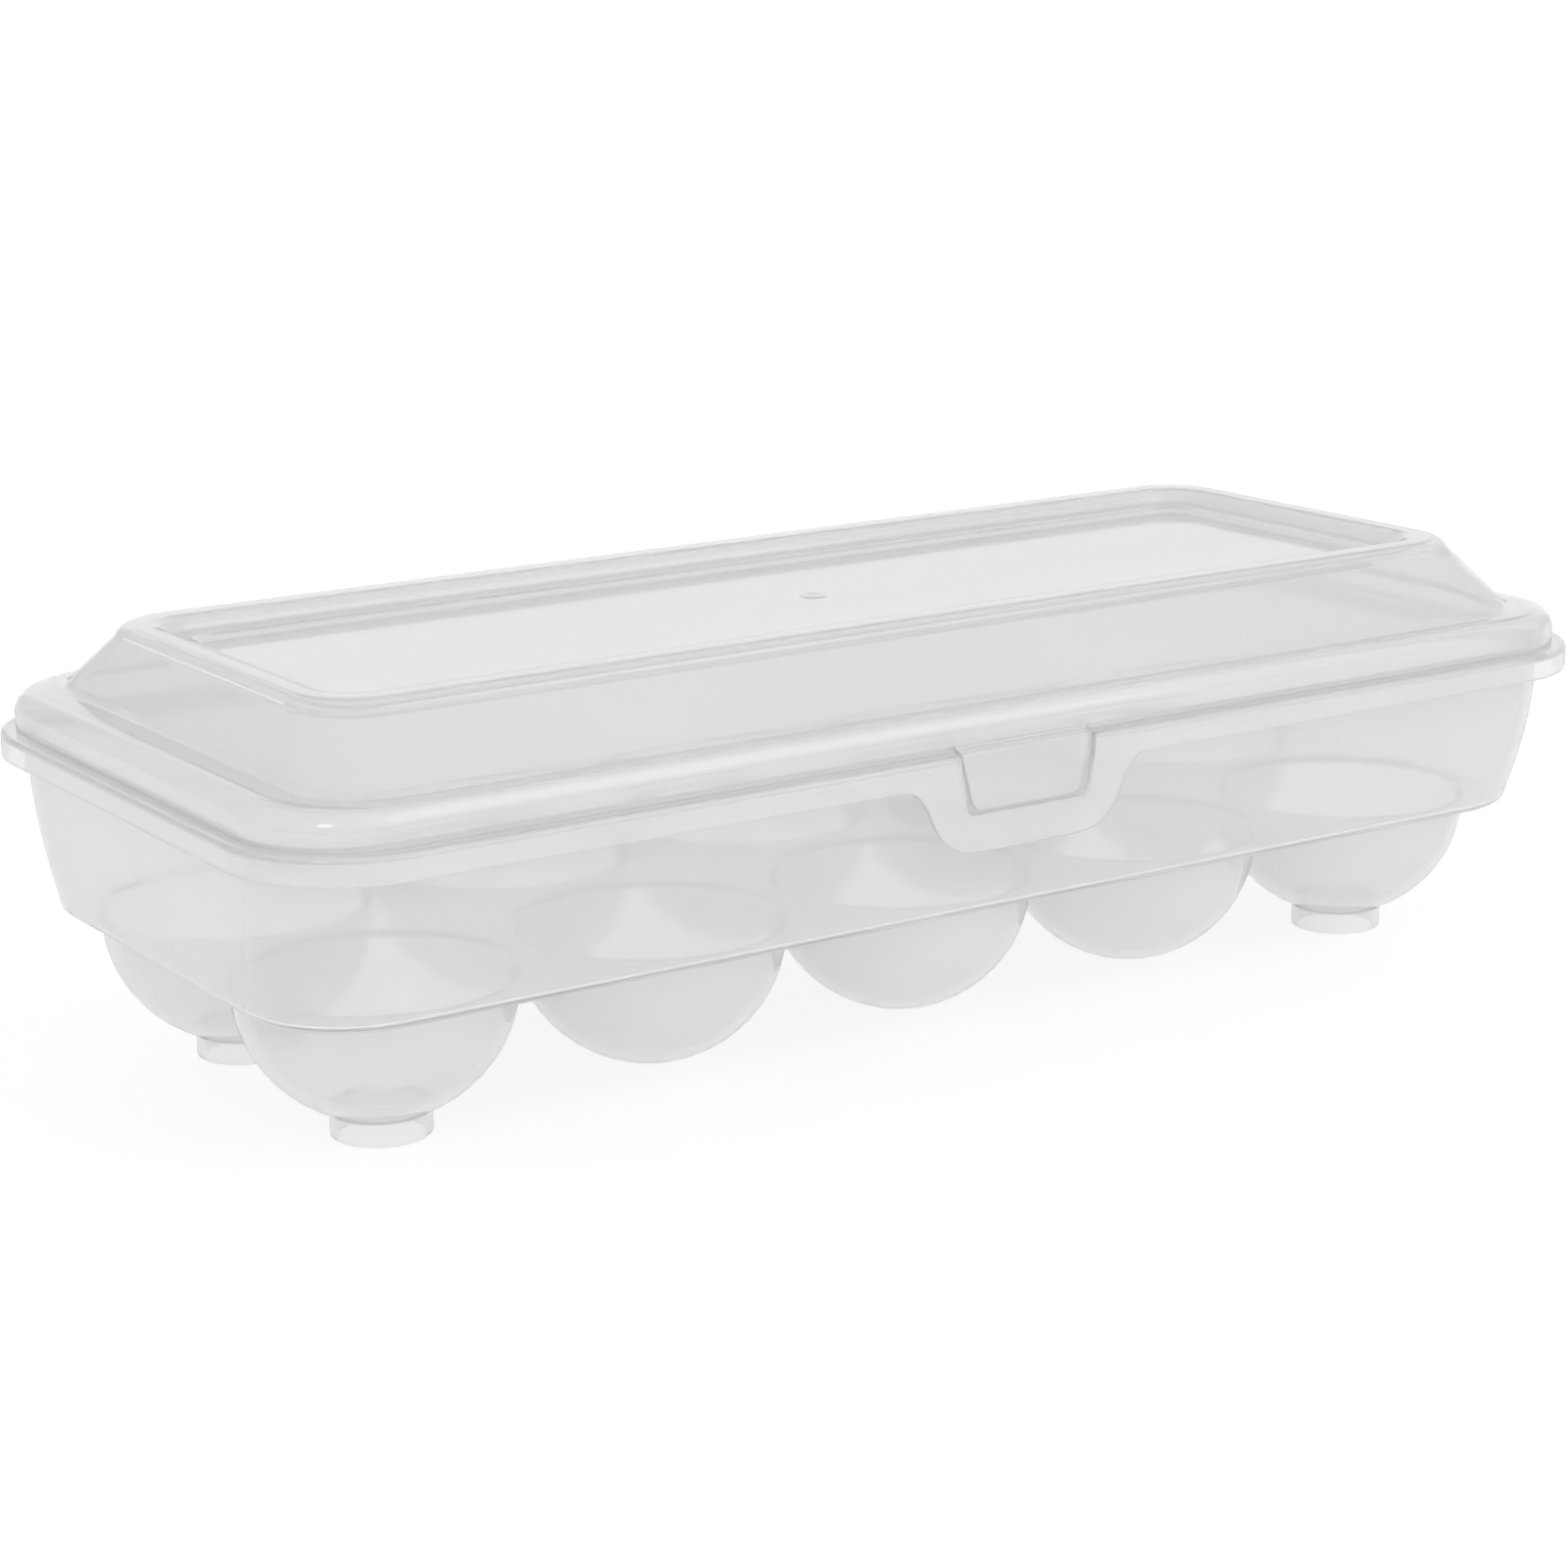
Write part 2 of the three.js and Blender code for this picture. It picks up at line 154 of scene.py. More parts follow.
def section_length(start, end):
    """Distance between two levels in the cross section, taking the mean of end and side."""
    step = end - start
    return math.hypot((step[0] + step[1]) / 2, step[3])


ARC_HANDLE = 0.55    # length of a cubic curve's handles that makes a corner nearly circular


def rounded_section(corners, steps=5):
    """Levels along a section given as (level, rounding) pairs, with each corner rounded."""
    levels = [corners[0][0]]
    for before, here, after in zip(corners, corners[1:], corners[2:]):
        corner, rounding = here
        if rounding == 0:
            levels.append(corner)
            continue
        start = corner.lerp(before[0], rounding / section_length(before[0], corner))
        end = corner.lerp(after[0], rounding / section_length(corner, after[0]))
        first_handle = start.lerp(corner, ARC_HANDLE)
        second_handle = end.lerp(corner, ARC_HANDLE)
        for step in range(steps + 1):
            t = step / steps
            s = 1 - t
            towards_start = start * s ** 3 + first_handle * 3 * s * s * t
            towards_end = second_handle * 3 * s * t * t + end * t ** 3
            levels.append(towards_start + towards_end)
    levels.append(corners[-1][0])
    return levels


def direction(angle):
    return Vector((math.cos(angle), math.sin(angle)))


def outline_loop(at):
    """Points round a level, from the middle of the front left corner, front side first."""
    a, b, r, z = at
    centres = [Vector((x * (a - r), y * (b - r))) for x, y in ((-1, -1), (1, -1), (1, 1), (-1, 1))]
    points = []
    for side in range(4):
        start = centres[side]
        end = centres[(side + 1) % 4]
        facing = math.radians(90 * side - 90)
        straight = (SHORT_SPAN if side % 2 else LONG_SPAN) - 2 * HALF_CORNER
        eighth = math.pi / 4
        for step in range(HALF_CORNER):
            points.append(start + r * direction(facing - eighth * (1 - step / HALF_CORNER)))
        for step in range(straight):
            points.append(start.lerp(end, step / straight) + r * direction(facing))
        for step in range(HALF_CORNER):
            points.append(end + r * direction(facing + eighth * step / HALF_CORNER))
    return [(p.x, p.y, z) for p in points]


# ---------- meshes ----------

class Shell:
    """The vertices and faces of one closed moulding, in millimetres."""

    def __init__(self):
        self.vertices = []
        self.faces = []

    def add(self, points):
        first = len(self.vertices)
        self.vertices.extend(points)
        return list(range(first, len(self.vertices)))

    def bridge(self, one, other):
        """Quads between two closed loops of the same length."""
        for i in range(len(one)):
            after = (i + 1) % len(one)
            self.faces.append((one[i], one[after], other[after], other[i]))

    def skin(self, loops):
        for one, other in zip(loops, loops[1:]):
            self.bridge(one, other)

    def cap(self, loop):
        self.faces.append(tuple(loop))

    def close_to_point(self, loop, point):
        tip = self.add([point])[0]
        for i in range(len(loop)):
            self.faces.append((loop[i], loop[(i + 1) % len(loop)], tip))

    def to_object(self, name):
        mesh = bpy.data.meshes.new(name)
        mesh.from_pydata([[value * MM for value in point] for point in self.vertices], [], self.faces)
        return finished(name, mesh)


def finished(name, mesh):
    """An object of a closed mesh, with its faces turned outwards."""
    edit = bmesh.new()
    edit.from_mesh(mesh)
    bmesh.ops.remove_doubles(edit, verts=edit.verts, dist=1e-7)
    bmesh.ops.recalc_face_normals(edit, faces=edit.faces)
    edit.to_mesh(mesh)
    edit.free()
    piece = bpy.data.objects.new(name, mesh)
    bpy.context.scene.collection.objects.link(piece)
    return piece


def prism(name, outline, start, end, to_point):
    """A closed solid of a flat outline, swept from start to end. to_point(u, v, along) places it."""
    shell = Shell()
    one = shell.add([to_point(u, v, start) for u, v in outline])
    other = shell.add([to_point(u, v, end) for u, v in outline])
    shell.bridge(one, other)
    shell.cap(one)
    shell.cap(other)
    return shell.to_object(name)


def along_y(u, v, along):
    return (u, along, v)


def along_x(u, v, along):
    return (along, u, v)


def soften(piece, width, angle=40):
    """Rounds a simple solid's edges, where its faces meet at more than the angle."""
    apply_modifier(
        piece,
        "BEVEL",
        width=width * MM,
        segments=2,
        limit_method="ANGLE",
        angle_limit=math.radians(angle),
    )


def apply_modifier(piece, kind, **settings):
    """Adds a modifier and turns its result into the piece's own mesh."""
    modifier = piece.modifiers.new(kind, kind)
    for key, value in settings.items():
        setattr(modifier, key, value)
    evaluated = piece.evaluated_get(bpy.context.evaluated_depsgraph_get())
    mesh = bpy.data.meshes.new_from_object(evaluated)
    piece.modifiers.clear()
    piece.data = mesh


def combine(piece, operation, *tools):
    """Joins tools to a piece or cuts them out of it, and removes them."""
    for tool in tools:
        apply_modifier(piece, "BOOLEAN", operation=operation, solver="MANIFOLD", object=tool)
        bpy.data.objects.remove(tool)


def coat(piece, material):
    """Gives a piece one material, in place of the empty slots that booleans leave."""
    piece.data.materials.clear()
    piece.data.materials.append(material)


def smooth(piece, angle=32):
    """Smooth shading, with sharp edges only where two faces meet at more than the angle."""
    piece.data.shade_smooth()
    piece.data.set_sharp_from_angle(angle=math.radians(angle))
    apply_modifier(piece, "WEIGHTED_NORMAL", mode="FACE_AREA_WITH_ANGLE", weight=80, keep_sharp=True)


# ---------- front outlines of the tab, its notch and the apron ----------

def bezier(points, steps):
    """Points on a quadratic or cubic curve, without its first one."""
    degree = len(points) - 1
    found = []
    for step in range(1, steps + 1):
        t = step / steps
        weights = [math.comb(degree, i) * t ** i * (1 - t) ** (degree - i) for i in range(degree + 1)]
        found.append(tuple(sum(w * p[axis] for w, p in zip(weights, points)) for axis in (0, 1)))
    return found


def mirrored(right_half):
    return right_half + [(-x, z) for x, z in reversed(right_half)]


def tongue(bottom, half, taper, corner, top):
    """A tapering tongue with rounded lower corners, up to top."""
    side_end = (half + taper * corner, bottom + corner)
    side = [(half + taper * (top - bottom), top), side_end]
    side += bezier([side_end, (half, bottom), (half - corner, bottom)], 8)
    return mirrored(side)


def apron_outline(top):
    """The apron's swept sides, from where it leaves the lip down to its straight lower edge."""
    start = (APRON_TOP_HALF, LIP_BOTTOM + 0.05)
    above_waist = (APRON_WAIST[0] + 1.2, APRON_WAIST[1] + 3)
    below_waist = (APRON_WAIST[0] - 2, APRON_WAIST[1] - 4.6)
    before_end = (APRON_BOTTOM_HALF + 6, APRON_BOTTOM)
    end = (APRON_BOTTOM_HALF, APRON_BOTTOM)
    side = [(APRON_TOP_HALF, top), start]
    side += bezier([start, (start[0] - 4.1, start[1] - 0.3), above_waist, APRON_WAIST], 10)
    side += bezier([APRON_WAIST, below_waist, before_end, end], 12)
    return mirrored(side)


# ---------- tray ----------

BEND_RADIUS = 1.0                   # inside radius of the bend between the wall and the deck
BEND_HEIGHT = DECK_TOP + BEND_RADIUS
WALL_HEIGHTS = (31.5, 33, 35, 37.5, 40, 43, 46, 49, 52, 55)
RIM_START = 57.0                    # where the rim's section takes over from the wall's


def tray_section():
    """From the edge of the deck's underside, up round the rim, and down to the edge of its top."""
    outer_bend = SKIN + BEND_RADIUS
    foot = wall_level(BEND_HEIGHT, outer_bend)
    under_foot = foot.copy()
    under_foot[3] = DECK_BOTTOM
    over_foot = foot.copy()
    over_foot[3] = DECK_TOP

    def bend(radius):
        levels = []
        for degrees in (-75, -60, -45, -30, -15):
            angle = math.radians(degrees)
            at = wall_level(BEND_HEIGHT, outer_bend - radius * math.cos(angle))
            at[3] = BEND_HEIGHT + radius * math.sin(angle)
            levels.append(at)
        return levels

    rim = rounded_section([
        (level(WALL_TOP, RIM_START), 0),
        (level(WALL_TOP, LEDGE_BOTTOM), 1.0),
        (level(RIM, LEDGE_BOTTOM, LIP_THICKNESS), 0.4),
        (level(RIM, LIP_BOTTOM, LIP_THICKNESS), 0.3),
        (level(RIM, LIP_BOTTOM), 0.35),
        (level(RIM, LEDGE_TOP), 1.0),
        (level(WALL_TOP, LEDGE_TOP, SKIN), 0.6),
        (level(WALL_TOP, RIM_START, SKIN), 0),
    ])
    outside = [wall_level(z) for z in WALL_HEIGHTS]
    inside = [wall_level(z, SKIN) for z in reversed(WALL_HEIGHTS)]
    return [under_foot, *bend(outer_bend), *outside, *rim, *inside, *reversed(bend(BEND_RADIUS)), over_foot]


def cup_profile(radius, fillet, plane):
    """Radius and height down one skin of a cup, from the deck to just short of its lowest point."""
    centre_r = CUP_RADIUS + CUP_MOUTH_ROUNDING
    centre_z = DECK_BOTTOM - CUP_MOUTH_ROUNDING
    profile = [(centre_r + 0.35, plane)]
    for degrees in range(90, 181, 18):
        angle = math.radians(degrees)
        profile.append((centre_r + fillet * math.cos(angle), centre_z + fillet * math.sin(angle)))
    for degrees in range(6, 88, 6):
        angle = math.radians(degrees)
        profile.append((radius * math.cos(angle), DECK_BOTTOM - radius * math.sin(angle)))
    return profile


def with_foot(profile):
    """The outside of a corner cup, with a ring foot let into it."""
    def on_cup(r):
        return DECK_BOTTOM - math.sqrt(CUP_RADIUS ** 2 - r ** 2)

    outer = FOOT_RADIUS
    inner = FOOT_RADIUS - SKIN
    edge_radius = 0.45
    above = [p for p in profile if p[0] > outer + 1.2]
    below = [p for p in profile if p[0] < inner - 0.8]
    ring = [
        (outer + 0.6, on_cup(outer + 0.6)),
        (outer + 0.12, on_cup(outer) - 0.12),
        (outer, on_cup(outer) - 0.6),
        (outer, 1.2),
    ]
    for degrees in range(0, 91, 30):
        angle = math.radians(degrees)
        across = outer - edge_radius * (1 - math.cos(angle))
        ring.append((across, edge_radius * (1 - math.sin(angle))))
    ring += [
        (inner + 0.15, 0.0),
        (inner, 0.15),
        (inner, on_cup(inner) - 0.3),
        (inner - 0.3, on_cup(inner - 0.3)),
    ]
    return above + ring + below


def add_cup(shell, cell, centre, profile, lowest):
    """Joins a cup's skin to the square cell of the deck round it."""
    loops = [cell]
    for r, z in profile:
        circle = []
        for step in range(CUP_AROUND):
            spoke = direction(math.radians(-135 + 360 * step / CUP_AROUND)) * r
            circle.append((centre[0] + spoke.x, centre[1] + spoke.y, z))
        loops.append(shell.add(circle))
    shell.skin(loops)
    shell.close_to_point(loops[-1], (centre[0], centre[1], lowest))


def deck_cells(shell, edge, z):
    """Splits the deck into a square cell for each cup. Returns each cell's loop of vertices."""
    divider_x = [(column + 1 - CUPS_LONG / 2) * CUP_PITCH for column in range(CUPS_LONG - 1)]
    ring = edge + edge[:1]

    def stretch(start):
        """The vertices along one cell's side of the deck's edge."""
        return ring[start:start + CELL_SIDE + 1]

    def divider(first, last):
        """Vertices along a straight divider, whose two ends are there already."""
        start, end = [Vector(shell.vertices[index][:2]) for index in (first, last)]
        between = [start.lerp(end, step / CELL_SIDE) for step in range(1, CELL_SIDE)]
        return [first, *shell.add([(p.x, p.y, z) for p in between]), last]

    left_end = ring[LEFT_CORNER + CELL_SIDE]
    right_end = ring[RIGHT_CORNER + CELL_SIDE]
    crossings = [left_end, *shell.add([(x, 0, z) for x in divider_x]), right_end]
    middle = [divider(one, other) for one, other in zip(crossings, crossings[1:])]

    front_lines = [stretch(LEFT_CORNER + CELL_SIDE)[::-1]]
    back_lines = [stretch(LEFT_CORNER)[::-1]]
    for column in range(1, CUPS_LONG):
        front_lines.append(divider(ring[CELL_SIDE * column], crossings[column]))
        back_lines.append(divider(crossings[column], ring[LEFT_CORNER - CELL_SIDE * column]))
    front_lines.append(stretch(RIGHT_CORNER))
    back_lines.append(stretch(RIGHT_CORNER + CELL_SIDE))

    front_cells = []
    back_cells = []
    for column in range(CUPS_LONG):
        front_edge = stretch(CELL_SIDE * column)
        back_edge = stretch(LEFT_CORNER - CELL_SIDE * (column + 1))
        front = [front_edge, front_lines[column + 1], middle[column][::-1], front_lines[column][::-1]]
        back = [middle[column], back_lines[column + 1], back_edge, back_lines[column][::-1]]
        front_cells.append([index for part in front for index in part[:-1]])
        back_cells.append([index for part in back for index in part[:-1]])
    return front_cells + back_cells


def build_tray():
    shell = Shell()
    loops = [shell.add(outline_loop(at)) for at in tray_section()]
    shell.skin(loops)
    under_cells = deck_cells(shell, loops[0], DECK_BOTTOM)
    over_cells = deck_cells(shell, loops[-1], DECK_TOP)
    feet = [sum(corners_mm(name), Vector()) / 2 for name in frame["nodes"] if name.startswith("foot_")]
    for index in range(2 * CUPS_LONG):
        low, high = corners_mm(f"egg_cup_{index + 1}")
        centre = (low + high) / 2
        outside = cup_profile(CUP_RADIUS, CUP_MOUTH_ROUNDING, DECK_BOTTOM)
        if any((foot.xy - centre.xy).length < 1 for foot in feet):
            outside = with_foot(outside)
        inside = cup_profile(CUP_RADIUS - SKIN, CUP_MOUTH_ROUNDING + SKIN, DECK_TOP)
        add_cup(shell, under_cells[index], centre, outside, DECK_BOTTOM - CUP_RADIUS)
        add_cup(shell, over_cells[index], centre, inside, DECK_BOTTOM - CUP_RADIUS + SKIN)
    tray = shell.to_object("egg_tray")

    face = RIM_LOW.y
    outline = apron_outline(LIP_BOTTOM + APRON_LAP)
    apron = prism("apron", outline, face, face + LIP_THICKNESS, along_y)
    soften(apron, width=0.3)
    combine(tray, "UNION", apron)
    notch = prism("notch", tongue(**NOTCH, top=LEDGE_TOP + 1), face - 1, face + NOTCH_DEPTH, along_y)
    combine(tray, "DIFFERENCE", notch, *hook_openings("left", -1), *hook_openings("right", 1))
    smooth(tray)
    return tray


def hook_openings(side, sign):
    """Room for one hinge hook: a slot in the ledge and a window in the lip, with a bar between."""
    half = (HOOK_HIGH.x - HOOK_LOW.x) / 2 + HOOK_CLEARANCE
    middle = sign * abs(HOOK_HIGH.x + HOOK_LOW.x) / 2
    front = HOOK_LOW.y - HOOK_CLEARANCE
    slot = (front, HINGE_AXIS.y - HINGE_BAR, LEDGE_BOTTOM - 1, LEDGE_TOP + 1)
    window = (front, RIM_HIGH.y + 1, LIP_BOTTOM - 1, LEDGE_BOTTOM)
    pieces = []
    for y0, y1, z0, z1 in (slot, window):
        outline = [(y0, z0), (y1, z0), (y1, z1), (y0, z1)]
        pieces.append(prism(f"hook_slot_{side}", outline, middle - half, middle + half, along_x))
    return pieces


# ---------- lid ----------

def lid_outside():
    """From the band's lower edge, up over the shelf, the roof and the ridge, to the panel's edge."""
    return rounded_section([
        (level(LID, LID_FOOT, 0.2), 0),
        (level(LID, LID_FOOT), 0.15),
        (level(LID, SHELF_TOP), 4.0),
        (level(CREASE, SHELF_TOP), 1.5),
        (level(RIDGE_FOOT, ROOF_TOP), 0.9),
        (level(RIDGE_FOOT, RIDGE_TOP, RIDGE_LEAN), 1.9),
        (level(LEDGE_WALL, RIDGE_TOP, -RIDGE_LEAN), 1.9),
        (level(LEDGE_WALL, STACK_LEDGE), 0.4),
        (level(PANEL, STACK_LEDGE, -PANEL_LEAN), 0.45),
        (level(PANEL, PANEL_TOP), 0.4),
        (level(PANEL, PANEL_TOP, 1.0), 0),
        (level(PANEL, PANEL_TOP, 1.2), 0),
    ], steps=7)


def lid_inside():
    """The lid's inner skin, from under the panel's edge back down to the band's lower edge."""
    crease = (CREASE[0] - 0.76, CREASE[1] - 0.43, CREASE[2] - 0.6)
    return rounded_section([
        (level(PANEL, PANEL_TOP - SKIN, 1.2), 0),
        (level(PANEL, PANEL_TOP - SKIN, 1.0), 0),
        (level(PANEL, PANEL_TOP - SKIN, -SKIN), 0.6),
        (level(PANEL, STACK_LEDGE - SKIN, -PANEL_LEAN - SKIN), 0.4),
        (level(LEDGE_WALL, STACK_LEDGE - SKIN, -SKIN), 1.0),
        (level(LEDGE_WALL, RIDGE_TOP - SKIN, -RIDGE_LEAN - SKIN), 0.8),
        (level(RIDGE_FOOT, RIDGE_TOP - SKIN, RIDGE_LEAN + SKIN), 0.8),
        (level(RIDGE_FOOT, ROOF_TOP - 0.45, 1.3), 0.5),
        (level(crease, SHELF_TOP - SKIN), 1.8),
        (level(LID, SHELF_TOP - SKIN, SKIN), 2.8),
        (level(LID, LID_FOOT, SKIN), 0),
        (level(LID, LID_FOOT, 0.6), 0),
    ], steps=6)


def build_lid():
    shell = Shell()
    outside = [shell.add(outline_loop(at)) for at in lid_outside()]
    inside = [shell.add(outline_loop(at)) for at in lid_inside()]
    shell.skin(outside)
    shell.skin(inside)
    shell.bridge(inside[-1], outside[0])
    shell.cap(outside[-1])
    shell.cap(inside[0])
    lid = shell.to_object("egg_box_lid")
    hooks = (hinge_hook("left", -1), hinge_hook("right", 1))
    combine(lid, "UNION", finger_tab(), *hooks, gate_mark())
    smooth(lid)
    return lid


def finger_tab():
    """Leaves the lid's band, steps out over the ledge and hangs in the notch of the lip.

    The outline is its section, swept wider than the tab and then cut to the tab's front outline.
    """
    face = TAB_LOW.y
    band = -LID[1]
    top = LID_FOOT + 1.9
    outline = [(band + 0.5, top), (band, top)]
    outline += bezier([(band, top), (band - 0.35, LID_FOOT + 0.75), (band - 1.2, LID_FOOT + 0.6)], 5)
    outline += bezier([(face + 0.5, LID_FOOT + 0.25), (face, LID_FOOT + 0.15), (face, LID_FOOT - 0.5)], 5)
    outline += [
        (face, TAB["bottom"]),
        (face + SKIN, TAB["bottom"]),
        (face + SKIN, LID_FOOT - 0.6),
        (band + 0.5, LID_FOOT),
    ]
    strip = prism("finger_tab", outline, -20, 20, along_x)
    front = prism("tab_front", tongue(**TAB, top=top + 1), face - 1, face + 8, along_y)
    combine(strip, "INTERSECT", front)
    soften(strip, width=0.22, angle=50)
    return strip


def hinge_hook(side, sign):
    """Curved hook round the hinge axis, grown out of the lid's band."""
    low, high = HOOK_LOW, HOOK_HIGH
    outer = high.y - low.y
    inner = outer - SKIN
    half = (high.x - low.x) / 2
    middle = sign * abs(high.x + low.x) / 2
    start = math.pi - 0.35              # in the band, a little above the axis
    end = 1.5 * math.pi                 # straight below the axis
    steps = 14

    def arc(radius, first, last):
        angles = [first + (last - first) * step / steps for step in range(steps + 1)]
        return [(HINGE_AXIS.y + radius * math.cos(t), HINGE_AXIS.z + radius * math.sin(t)) for t in angles]

    outline = arc(outer, start, end) + arc(inner, end, start)
    hook = prism(f"hook_{side}", outline, middle - half, middle + half, along_x)
    soften(hook, width=0.25)
    return hook


def gate_mark():
    """The small raised spot left where the plastic entered the mould, in the middle of the panel."""
    shell = Shell()
    loops = []
    for r, z in ((2.6, -0.4), (2.6, 0.04), (2.35, 0.16), (1.6, 0.2), (1.25, 0.1), (0.6, 0.08)):
        loops.append(shell.add([(r * math.cos(t), r * math.sin(t), PANEL_TOP + z) for t in full_turn(32)]))
    shell.skin(loops)
    shell.cap(loops[0])
    shell.cap(loops[-1])
    return shell.to_object("gate_mark")


def full_turn(steps):
    return [2 * math.pi * step / steps for step in range(steps)]


# ---------- materials ----------

PLASTIC_COLOUR = (0.868, 0.873, 0.878)
PLASTIC_IOR = 1.49
CLEAR_SHARE = 0.75       # light that goes straight through a surface, where the rest is scattered
PAINTED_GLOW = 0.061        # painted glow: the plastic glows evenly though it is no lamp, standing in for light from all round that haze inside it scatters forwards
GRAZING_SHADE_TINT = 0.982   # painted shade at grazing angles: a coat tint that darkens each surface towards its edges, standing in for dark surroundings seen at the silhouettes
FLOOR_GLOW = 0.79
WORLD_LIGHT = 0.8


def plastic(name, seed):
    """Unpigmented, slightly milky plastic, with faint flow marks, haze and a soft moulded skin, and with a painted
    glow and painted shade towards grazing angles.
    """
    material = bpy.data.materials.new(name)
    material.use_nodes = True
    tree = material.node_tree
    shader = tree.nodes["Principled BSDF"]
    shader.inputs["IOR"].default_value = PLASTIC_IOR
    shader.inputs["Transmission Weight"].default_value = CLEAR_SHARE
    shader.inputs["Emission Color"].default_value = (1, 1, 1, 1)
    # painted glow: an even emission on every surface of the plastic
    shader.inputs["Emission Strength"].default_value = PAINTED_GLOW
    # painted shade: a coat with IOR 1 reflects nothing and only tints, darker and darker towards grazing angles
    shader.inputs["Coat Weight"].default_value = 1.0
    shader.inputs["Coat IOR"].default_value = 1.0
    shader.inputs["Coat Tint"].default_value = (GRAZING_SHADE_TINT, GRAZING_SHADE_TINT, GRAZING_SHADE_TINT, 1)

    place = tree.nodes.new("ShaderNodeTexCoord")

    def noise(scale, detail, stretch, offset):
        mapping = tree.nodes.new("ShaderNodeMapping")
        mapping.inputs["Scale"].default_value = stretch
        mapping.inputs["Location"].default_value = (seed + offset, offset * 2.0, seed * 0.5)
        texture = tree.nodes.new("ShaderNodeTexNoise")
        texture.inputs["Scale"].default_value = scale
        texture.inputs["Detail"].default_value = detail
        tree.links.new(place.outputs["Object"], mapping.inputs["Vector"])
        tree.links.new(mapping.outputs["Vector"], texture.inputs["Vector"])
        return texture.outputs["Fac"]

    def ramp(value, low, high):
        node = tree.nodes.new("ShaderNodeMapRange")
        node.inputs["From Min"].default_value = 0.3
        node.inputs["From Max"].default_value = 0.7
        node.inputs["To Min"].default_value = low
        node.inputs["To Max"].default_value = high
        tree.links.new(value, node.inputs["Value"])
        return node.outputs["Result"]

    haze = noise(22, 3, (1, 1, 1), 3.1)
    flow = noise(30, 1, (0.35, 1.6, 1.6), 7.7)
    grain = noise(900, 2, (1, 1, 1), 1.3)

    tint = tree.nodes.new("ShaderNodeMix")
    tint.data_type = "RGBA"
    tint.inputs["A"].default_value = (*[value * 0.975 for value in PLASTIC_COLOUR], 1)
    tint.inputs["B"].default_value = (*PLASTIC_COLOUR, 1)
    tree.links.new(ramp(haze, 0, 1), tint.inputs["Factor"])
    tree.links.new(tint.outputs["Result"], shader.inputs["Base Color"])
    tree.links.new(ramp(flow, 0.06, 0.09), shader.inputs["Roughness"])

    soft = tree.nodes.new("ShaderNodeBump")
    soft.inputs["Strength"].default_value = 0.25
    soft.inputs["Distance"].default_value = 0.0004
    tree.links.new(flow, soft.inputs["Height"])
    fine = tree.nodes.new("ShaderNodeBump")
    fine.inputs["Strength"].default_value = 0.03
    fine.inputs["Distance"].default_value = 0.00005
    tree.links.new(grain, fine.inputs["Height"])
    tree.links.new(soft.outputs["Normal"], fine.inputs["Normal"])
    tree.links.new(fine.outputs["Normal"], shader.inputs["Normal"])
    return material


def floor_material():
    """Pale matt paper with a very faint tooth, lit a little from below as on a light table."""
    material = bpy.data.materials.new("paper_floor")
    material.use_nodes = True
    tree = material.node_tree
    shader = tree.nodes["Principled BSDF"]
    shader.inputs["Roughness"].default_value = 0.9
    shader.inputs["Specular IOR Level"].default_value = 0.2
    texture = tree.nodes.new("ShaderNodeTexNoise")
    texture.inputs["Scale"].default_value = 300
    ramp = tree.nodes.new("ShaderNodeMapRange")
    ramp.inputs["To Min"].default_value = 0.24
    ramp.inputs["To Max"].default_value = 0.26
    tree.links.new(texture.outputs["Fac"], ramp.inputs["Value"])
    tree.links.new(ramp.outputs["Result"], shader.inputs["Base Color"])
    shader.inputs["Emission Color"].default_value = (1, 1, 1, 1)
    shader.inputs["Emission Strength"].default_value = FLOOR_GLOW
    return material


# ---------- stage ----------

CAMERA_AZIMUTH = -33.42
CAMERA_ELEVATION = 14.29
CAMERA_ROLL = -0.77
CAMERA_TARGET = Vector((-0.00363, 0.0, 0.03792))
CAMERA_DISTANCE = 0.699
CAMERA_LENS = 83.0
CAMERA_SHIFT = (-0.0106, 0.0094)


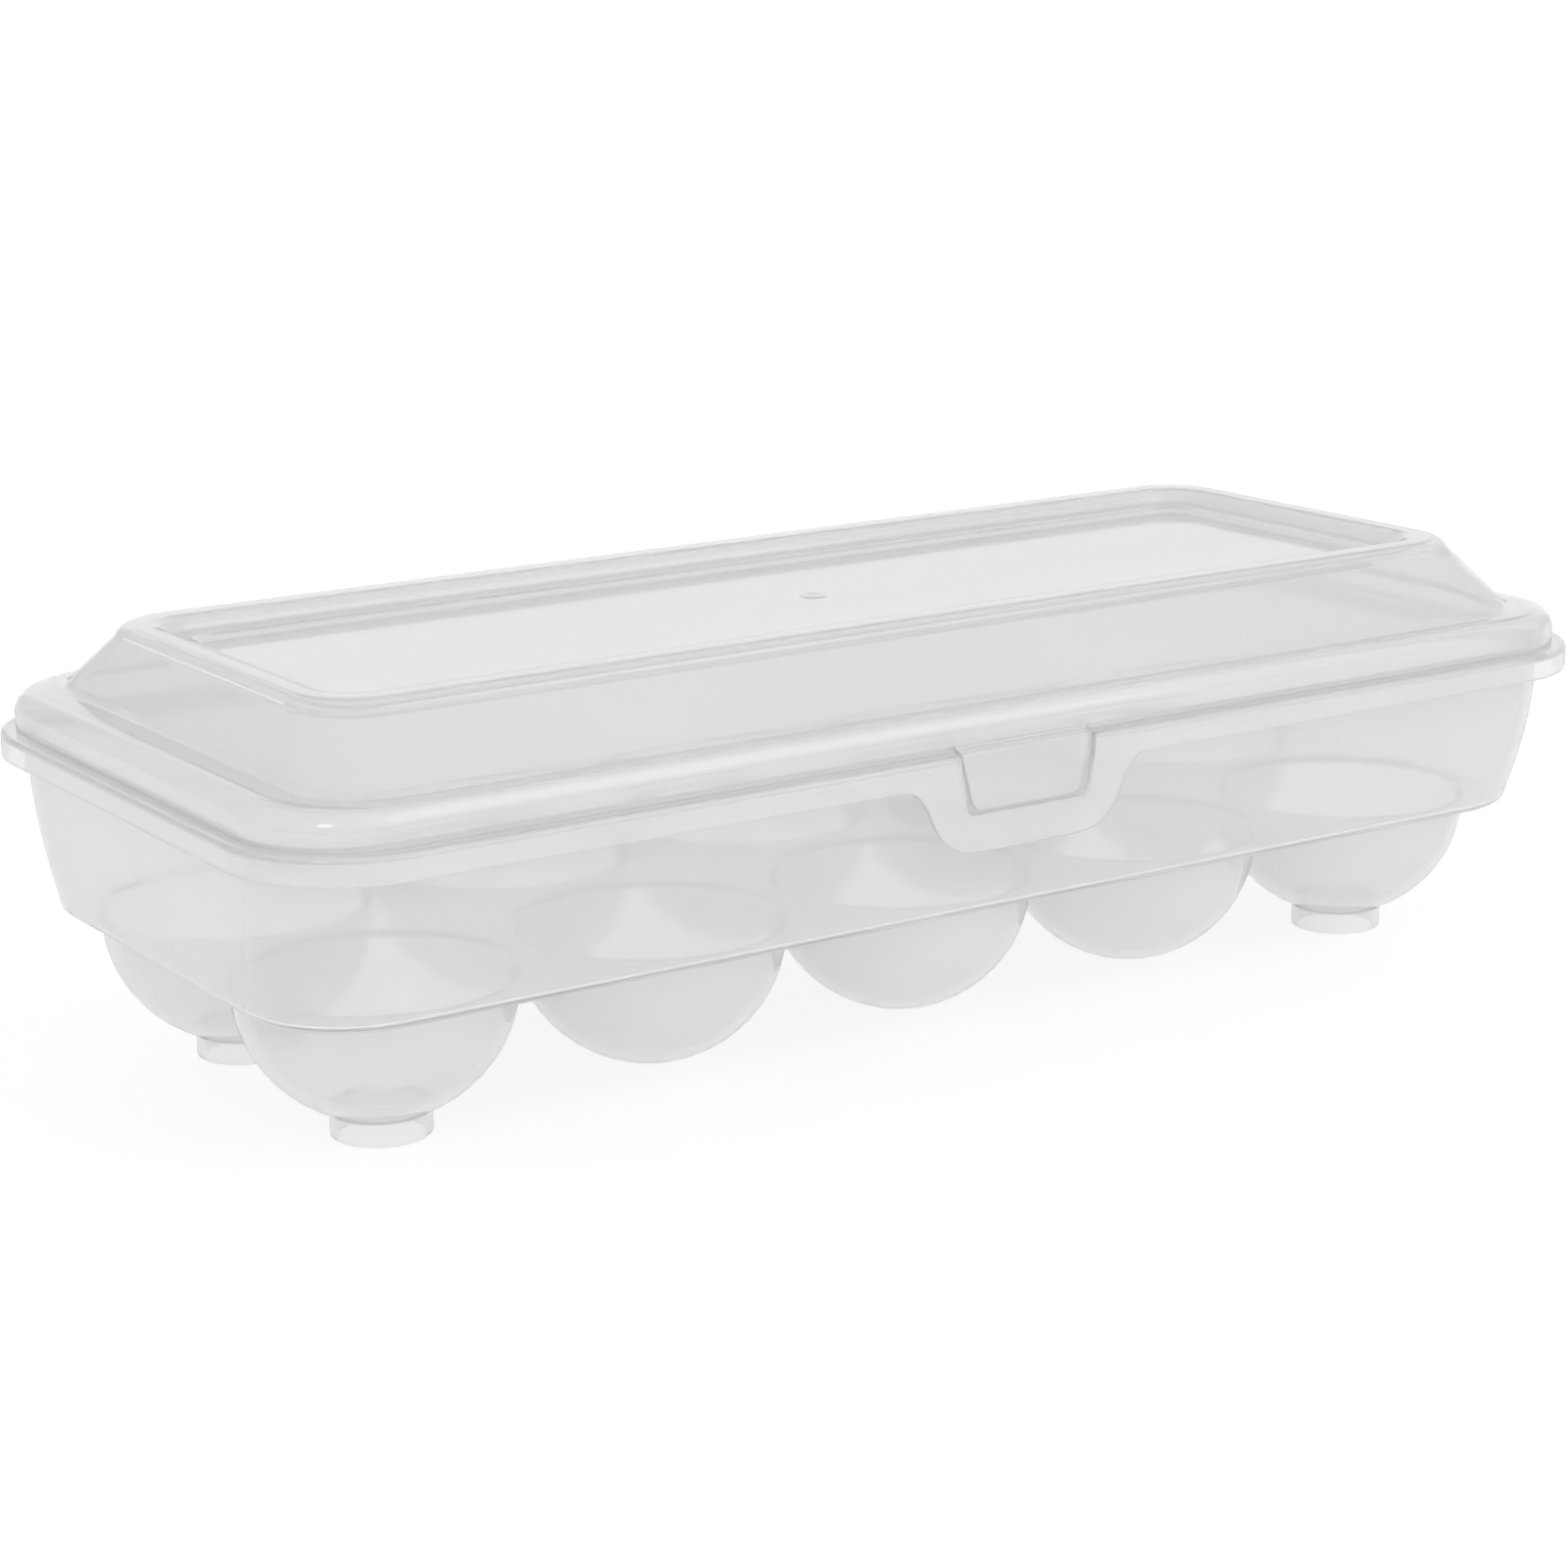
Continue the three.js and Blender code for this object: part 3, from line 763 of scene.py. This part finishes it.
def add_camera():
    azimuth = math.radians(CAMERA_AZIMUTH)
    elevation = math.radians(CAMERA_ELEVATION)
    roll = math.radians(CAMERA_ROLL)
    back = Vector((
        math.sin(azimuth) * math.cos(elevation),
        -math.cos(azimuth) * math.cos(elevation),
        math.sin(elevation),
    ))
    level_right = Vector((0, 0, 1)).cross(back).normalized()
    level_up = back.cross(level_right)
    right = level_right * math.cos(roll) + level_up * math.sin(roll)
    up = level_up * math.cos(roll) - level_right * math.sin(roll)
    data = bpy.data.cameras.new("camera")
    data.lens = CAMERA_LENS
    data.sensor_width = 36
    data.shift_x, data.shift_y = CAMERA_SHIFT
    data.clip_start = 0.01
    data.clip_end = 100
    camera = bpy.data.objects.new("camera", data)
    bpy.context.scene.collection.objects.link(camera)
    axes = Matrix((right, up, back)).transposed().to_4x4()
    camera.matrix_world = Matrix.Translation(CAMERA_TARGET + back * CAMERA_DISTANCE) @ axes
    bpy.context.scene.camera = camera


def add_softbox(name, place, size, power):
    """A softbox facing the object."""
    data = bpy.data.lights.new(name, "AREA")
    data.shape = "RECTANGLE"
    data.size, data.size_y = size
    data.energy = power
    light = bpy.data.objects.new(name, data)
    bpy.context.scene.collection.objects.link(light)
    light.location = place
    light.rotation_euler = (Vector((0, 0, 0.05)) - Vector(place)).to_track_quat("-Z", "Y").to_euler()


def add_stage():
    reach = 12.0
    corners = [(x * reach, y * reach, 0) for x, y in ((-1, -1), (1, -1), (1, 1), (-1, 1))]
    mesh = bpy.data.meshes.new("floor")
    mesh.from_pydata(corners, [], [(0, 1, 2, 3)])
    mesh.materials.append(floor_material())
    floor = bpy.data.objects.new("floor", mesh)
    floor.location.z = -0.0001          # just clear of the feet
    bpy.context.scene.collection.objects.link(floor)

    world = bpy.data.worlds.new("studio")
    world.use_nodes = True
    world.node_tree.nodes["Background"].inputs["Color"].default_value = (1, 1, 1, 1)
    world.node_tree.nodes["Background"].inputs["Strength"].default_value = WORLD_LIGHT
    bpy.context.scene.world = world
    bpy.context.scene.view_settings.view_transform = "Standard"

    add_softbox("softbox_left", (-1.15, -0.8, 0.9), (0.35, 0.35), 1.8)
    add_softbox("softbox_right", (0.6, -1.3, 0.9), (0.9, 0.9), 2.4)
    add_softbox("softbox_fill", (0.5, -1.3, 1.0), (1.7, 1.7), 3.6)
    add_softbox("softbox_back", (1.3, 1.9, 0.6), (2.6, 1.2), 3.4)


# ---------- assembly ----------

add_camera()
add_stage()

tray_piece = build_tray()
coat(tray_piece, plastic("milky_tray", seed=0.0))
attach(tray_piece, "tray")
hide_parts(*frame["record"]["behaviour"]["bodies"]["tray"])

lid_piece = build_lid()
coat(lid_piece, plastic("milky_lid", seed=4.0))
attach(lid_piece, "lid")
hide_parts(*frame["record"]["behaviour"]["bodies"]["lid"])
